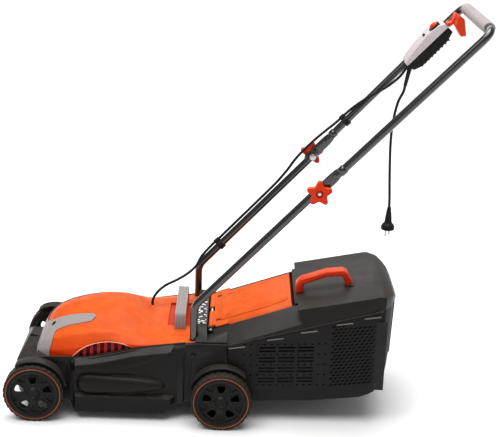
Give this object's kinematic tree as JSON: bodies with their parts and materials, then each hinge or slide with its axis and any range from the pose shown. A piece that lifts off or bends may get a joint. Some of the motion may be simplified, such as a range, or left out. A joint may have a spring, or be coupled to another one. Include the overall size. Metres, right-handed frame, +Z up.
{
  "type": "push lawn mower",
  "caption": "Corded electric rotary lawn mower pushed by hand: hooded deck, blade, wheels, folding tube handle with a lever switch, and a rear grass box.",
  "frame": {"origin": "on the ground, under the middle of the whole machine's bounding box", "axes": "+X to the rear, where the operator stands; +Y to the operator's right; +Z up"},
  "size_m": [1.1025, 0.4208, 0.9907],
  "materials": {
    "deck_plastic": "satin moulded black",
    "hood_plastic": "semi-gloss orange with a fine grain",
    "grille_plastic": "dark red moulded slats",
    "grey_plastic": "fine-grained mid grey",
    "orange_plastic": "moulded orange",
    "basket_plastic": "textured black with slots",
    "lid_plastic": "satin charcoal",
    "black_plastic": "fine-grained black",
    "hub_plastic": "satin moulded black",
    "wheel_ring": "copper-coloured bead",
    "tyre_rubber": "matt, moulded tread",
    "black_tube": "glossy black powder coat",
    "grip_foam": "light grey closed-cell foam",
    "switch_shell": "fine-grained light grey",
    "cord_rubber": "matt black",
    "steel": "zinc plated",
    "cast_aluminium": "as cast",
    "label_film": "smooth film"
  },
  "bodies": {
    "mower": {"front_axle": "steel", "rear_axle": "steel", "motor_stator": "steel", "flap_pin": "steel", "flap_spring": "steel", "pivot_bolt_left": "steel", "pivot_bolt_right": "steel", "socket_screw_left": "steel", "socket_screw_right": "steel", "deck": "deck_plastic", "rear_housing": "deck_plastic", "hood": "hood_plastic", "grille_left": "grille_plastic", "grille_right": "grille_plastic", "hood_trim_left": "grey_plastic", "hood_trim_right": "grey_plastic", "carry_handle": "grey_plastic", "capacitor": "grey_plastic", "motor_base": "cast_aluminium", "motor_cap": "cast_aluminium", "cable_clip_lower": "black_plastic", "label_plate": "label_film", "lower_handle_left": "black_tube", "lower_handle_right": "black_tube", "motor_cable_lower": "cord_rubber"},
    "rotor": {"motor_shaft": "steel", "blade_holder": "black_plastic", "blade": "steel", "blade_bolt": "steel"},
    "wheel_front_left": {"tyre_front_left": "tyre_rubber", "wheel_ring_front_left": "wheel_ring", "wheel_hub_front_left": "hub_plastic"},
    "wheel_front_right": {"tyre_front_right": "tyre_rubber", "wheel_ring_front_right": "wheel_ring", "wheel_hub_front_right": "hub_plastic"},
    "wheel_rear_left": {"tyre_rear_left": "tyre_rubber", "wheel_ring_rear_left": "wheel_ring", "wheel_hub_rear_left": "hub_plastic"},
    "wheel_rear_right": {"tyre_rear_right": "tyre_rubber", "wheel_ring_rear_right": "wheel_ring", "wheel_hub_rear_right": "hub_plastic"},
    "rear_flap": {"rear_flap": "orange_plastic"},
    "grass_box": {"box_basket": "basket_plastic", "box_lid": "lid_plastic", "box_handle": "orange_plastic", "box_rear_grip": "black_plastic"},
    "knob_left": {"knob_left": "orange_plastic"},
    "knob_right": {"knob_right": "orange_plastic"},
    "upper_handle": {"upper_handle": "black_tube", "foam_grip": "grip_foam", "switch_box_top": "switch_shell", "switch_box_bottom": "black_plastic", "switch_module": "black_plastic", "cable_clip_upper": "black_plastic", "motor_cable_upper": "cord_rubber", "cord_relief": "cord_rubber", "power_cord": "cord_rubber", "plug": "cord_rubber"},
    "switch_lever": {"switch_lever": "orange_plastic"},
    "safety_button": {"safety_button": "orange_plastic"}
  },
  "joints": [
    {"name": "blade_spin", "type": "hinge", "parent": "mower", "child": "rotor", "pos_m": [-0.2667, 0, 0.118], "axis": [0, 0, 1], "continuous": true},
    {"name": "front_left_roll", "type": "hinge", "parent": "mower", "child": "wheel_front_left", "pos_m": [-0.4787, -0.1745, 0.0725], "axis": [0, 1, 0], "continuous": true},
    {"name": "front_right_roll", "type": "hinge", "parent": "mower", "child": "wheel_front_right", "pos_m": [-0.4787, 0.1745, 0.0725], "axis": [0, 1, 0], "continuous": true},
    {"name": "rear_left_roll", "type": "hinge", "parent": "mower", "child": "wheel_rear_left", "pos_m": [-0.0267, -0.1925, 0.0725], "axis": [0, 1, 0], "continuous": true},
    {"name": "rear_right_roll", "type": "hinge", "parent": "mower", "child": "wheel_rear_right", "pos_m": [-0.0267, 0.1925, 0.0725], "axis": [0, 1, 0], "continuous": true},
    {"name": "flap_hinge", "type": "hinge", "parent": "mower", "child": "rear_flap", "pos_m": [-0.0577, 0, 0.221], "axis": [0, -1, 0], "range_deg": [0, 75], "stiffness_Nm_per_rad": 0.4, "springref_deg": -17.19},
    {"name": "grass_box_lift_off", "type": "slide", "parent": "mower", "child": "grass_box", "axis": [0.9976, 0, 0.0698], "range_m": [0, 0.42]},
    {"name": "knob_left_turn", "type": "hinge", "parent": "mower", "child": "knob_left", "pos_m": [0.1833, -0.167, 0.5945], "axis": [0, 1, 0], "continuous": true},
    {"name": "knob_right_turn", "type": "hinge", "parent": "mower", "child": "knob_right", "pos_m": [0.1833, 0.167, 0.5945], "axis": [0, 1, 0], "continuous": true},
    {"name": "handle_fold", "type": "hinge", "parent": "mower", "child": "upper_handle", "pos_m": [0.1833, 0, 0.5945], "axis": [0, 1, 0], "range_deg": [-155, 0], "deforming": ["motor_cable_upper"]},
    {"name": "lever_pull", "type": "hinge", "parent": "upper_handle", "child": "switch_lever", "pos_m": [0.497, 0.144, 0.9391], "axis": [0, 1, 0], "range_deg": [-18, 0], "stiffness_Nm_per_rad": 0.5, "springref_deg": 6.88},
    {"name": "button_press", "type": "slide", "parent": "upper_handle", "child": "safety_button", "axis": [0.7337, 0, -0.6794], "range_m": [0, 0.005], "stiffness_N_per_m": 300, "springref_m": -0.003}
  ]
}
